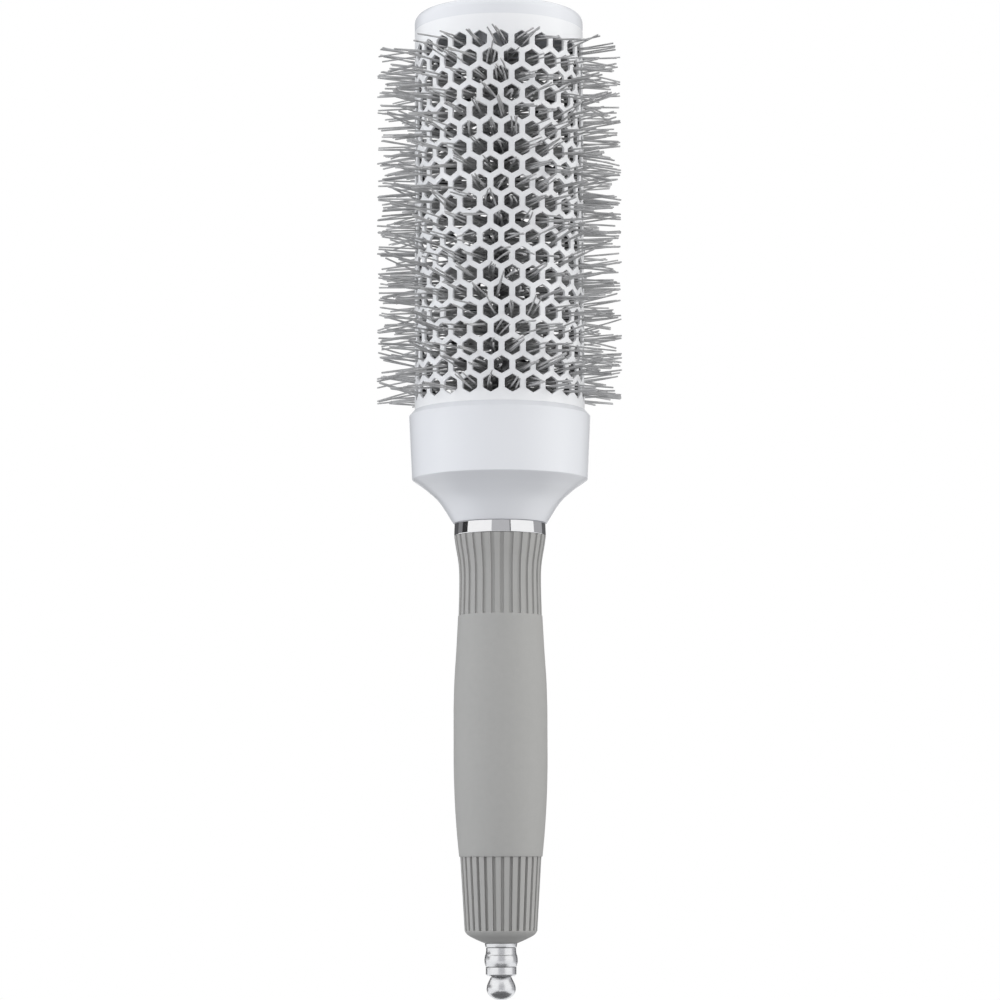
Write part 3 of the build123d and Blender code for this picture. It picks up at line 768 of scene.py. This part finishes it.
HIDDEN = {"core_tip_bush": HIDDEN_METAL, "core_anchor": HIDDEN_METAL,
          "handle_core": HIDDEN_PLASTIC, "guide_tube": HIDDEN_PLASTIC,
          "friction_ring": HIDDEN_RUBBER, "pin_stop": PIN_STEEL}
for node, material in HIDDEN.items():
    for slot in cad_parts[node].material_slots:
        slot.material = material


# ---------------------------------------------------------------- stage
def flat_mesh(name, low, high, height):
    """A level rectangle between two corners."""
    (x0, y0), (x1, y1) = low, high
    mesh = bpy.data.meshes.new(name)
    mesh.from_pydata([(x0, y0, height), (x1, y0, height), (x1, y1, height), (x0, y1, height)],
                     [], [(0, 1, 2, 3)])
    return mesh


def math_node(nodes, links, operation, first, second):
    """The result of a Math node on a socket and on a second socket or a number."""
    node = nodes.new("ShaderNodeMath")
    node.operation = operation
    links.new(first, node.inputs[0])
    if isinstance(second, float):
        node.inputs[1].default_value = second
    else:
        links.new(second, node.inputs[1])
    return node.outputs[0]


def stage_floor(width, height, colour, seen_colour, seen_glow):
    """A flat matt floor, paler to the camera and to metal than in the light it sends back."""
    material, nodes, links, shader = new_material("floor")
    shader.inputs["Roughness"].default_value = 0.9
    path = nodes.new("ShaderNodeLightPath").outputs
    seen = math_node(nodes, links, "MAXIMUM", path["Is Camera Ray"], path["Is Glossy Ray"])
    mix = nodes.new("ShaderNodeMix")
    mix.data_type = "RGBA"
    mix.inputs["A"].default_value = (*colour, 1)
    mix.inputs["B"].default_value = (*seen_colour, 1)
    links.new(seen, mix.inputs["Factor"])
    links.new(mix.outputs["Result"], shader.inputs["Base Color"])
    shader.inputs["Emission Color"].default_value = (1, 1, 1, 1)
    links.new(math_node(nodes, links, "MULTIPLY", seen, seen_glow),
              shader.inputs["Emission Strength"])
    half = width / 2
    mesh = flat_mesh("floor", (-half, -half), (half, half), height)
    mesh.materials.append(material)
    link_object("floor", mesh)


def round_the_axis(turn, distance, height):
    """A place on the camera's side of the brush, turned about the axis."""
    return (distance * math.sin(turn), -distance * math.cos(turn), height)


def glow(name, brightness):
    """A plain glowing grey, a touch blue, for the cards that the metal mirrors."""
    material, nodes, links, shader = new_material(name)
    nodes.remove(shader)
    emission = nodes.new("ShaderNodeEmission")
    emission.inputs["Color"].default_value = (brightness, brightness, brightness * 1.03, 1)
    links.new(emission.outputs[0], nodes["Material Output"].inputs["Surface"])
    return material


def mirrored_card(name, start, end, brightness, distance=1.25, low=-0.30, high=1.2, steps=12):
    """A curved upright card that only reflections show, between two azimuths in degrees."""
    mesh = bpy.data.meshes.new(name)
    turns = [math.radians(start + (end - start) * k / steps) for k in range(steps + 1)]
    verts = [round_the_axis(turn, distance, z) for turn in turns for z in (low, high)]
    mesh.from_pydata(verts, [], [(2 * k, 2 * k + 2, 2 * k + 3, 2 * k + 1) for k in range(steps)])
    as_card(name, mesh, brightness)


def as_card(name, mesh, brightness):
    """Puts a card on the stage, unseen by the camera and by soft light."""
    mesh.materials.append(glow(name, brightness))
    obj = link_object(name, mesh)
    obj.visible_camera = False
    obj.visible_diffuse = False
    obj.visible_shadow = False


def facing_the_axis(azimuth, distance, height):
    """The place of an upright panel that faces the brush, at an azimuth in degrees."""
    turn = math.radians(azimuth)
    upright = Matrix.Rotation(turn, 4, "Z") @ Matrix.Rotation(math.radians(90), 4, "X")
    return Matrix.Translation(round_the_axis(turn, distance, height)) @ upright


def softbox(name, place, width, tall, watts, colour):
    """A soft light that only lights the object and isn't mirrored."""
    light = bpy.data.lights.new(name, "AREA")
    light.shape = "RECTANGLE"
    light.size, light.size_y = width, tall
    light.energy = watts
    light.color = colour
    obj = link_object(name, light)
    obj.matrix_world = place
    obj.visible_camera = False
    obj.visible_glossy = False


def background(nodes, colour, strength):
    """The output of a plain background shader."""
    node = nodes.new("ShaderNodeBackground")
    node.inputs["Color"].default_value = (*colour, 1)
    node.inputs["Strength"].default_value = strength
    return node.outputs[0]


def studio_world():
    """A soft fill for the brush, and plain white for the camera, for metal and for glass."""
    world = bpy.data.worlds.new("studio")
    world.use_nodes = True
    bpy.context.scene.world = world
    nodes, links = world.node_tree.nodes, world.node_tree.links
    nodes.clear()
    path = nodes.new("ShaderNodeLightPath").outputs
    seen = math_node(nodes, links, "MAXIMUM", path["Is Camera Ray"],
                     path["Is Transmission Ray"])
    seen = math_node(nodes, links, "MAXIMUM", seen, path["Is Glossy Ray"])
    mix = nodes.new("ShaderNodeMixShader")
    links.new(seen, mix.inputs["Fac"])
    links.new(background(nodes, (0.97, 0.985, 1.0), 0.54), mix.inputs[1])
    links.new(background(nodes, (1.0, 1.0, 1.0), 1.0), mix.inputs[2])
    links.new(mix.outputs[0], nodes.new("ShaderNodeOutputWorld").inputs["Surface"])


def studio():
    """Floor, cards for the metal to mirror, soft lights and a white background."""
    stage_floor(width=30.0, height=-0.90, colour=(0.43, 0.43, 0.44),
                seen_colour=(0.88, 0.88, 0.885), seen_glow=0.40)
    mirrored_card("card_centre", -21, 24, 0.50)
    mirrored_card("card_line", 24, 27, 0.17)
    mirrored_card("card_left_edge", -109, -89, 0.04, low=0.05, high=0.42)
    mirrored_card("card_left", -129, -109, 0.22, low=0.05, high=0.42)
    mirrored_card("card_left_back", -168, -129, 0.10)
    mirrored_card("card_right", 94, 131, 0.40)
    mirrored_card("card_right_back", 131, 166, 0.12)
    as_card("card_under", flat_mesh("card_under", (-0.3, -0.5), (0.3, 0.2), -0.3), 0.13)
    softbox("soft_left", facing_the_axis(-78, 0.95, 0.33), width=0.80, tall=1.55, watts=6.7,
            colour=(0.97, 0.985, 1.0))
    softbox("soft_right", facing_the_axis(78, 0.95, 0.33), width=0.80, tall=1.55, watts=6.9,
            colour=(1.0, 0.995, 0.97))
    softbox("soft_front", facing_the_axis(0, 1.3, 0.06), width=0.90, tall=1.0, watts=4.3,
            colour=(1.0, 1.0, 1.0))
    above = Matrix.Translation((0, -0.45, 1.5)) @ Matrix.Rotation(math.radians(18), 4, "X")
    softbox("overhead", above, width=1.4, tall=1.4, watts=2.7, colour=(1.0, 1.0, 1.0))
    studio_world()


def camera():
    """A long lens, a little below the middle of the brush and looking slightly up."""
    look_up, lean = math.radians(90 + 6.307), -0.0025
    data = bpy.data.cameras.new("camera")
    data.sensor_width = 36.0
    data.lens = 122.1
    data.clip_end = 20
    obj = link_object("camera", data)
    place = Matrix.Translation((0.00001, -0.850, -0.03548))
    pitch = Matrix.Rotation(look_up, 4, "X")
    roll = Matrix.Rotation(lean, 4, "Z")
    obj.matrix_world = place @ pitch @ roll
    bpy.context.scene.camera = obj


studio()
camera()
bpy.context.scene.view_settings.view_transform = "Standard"
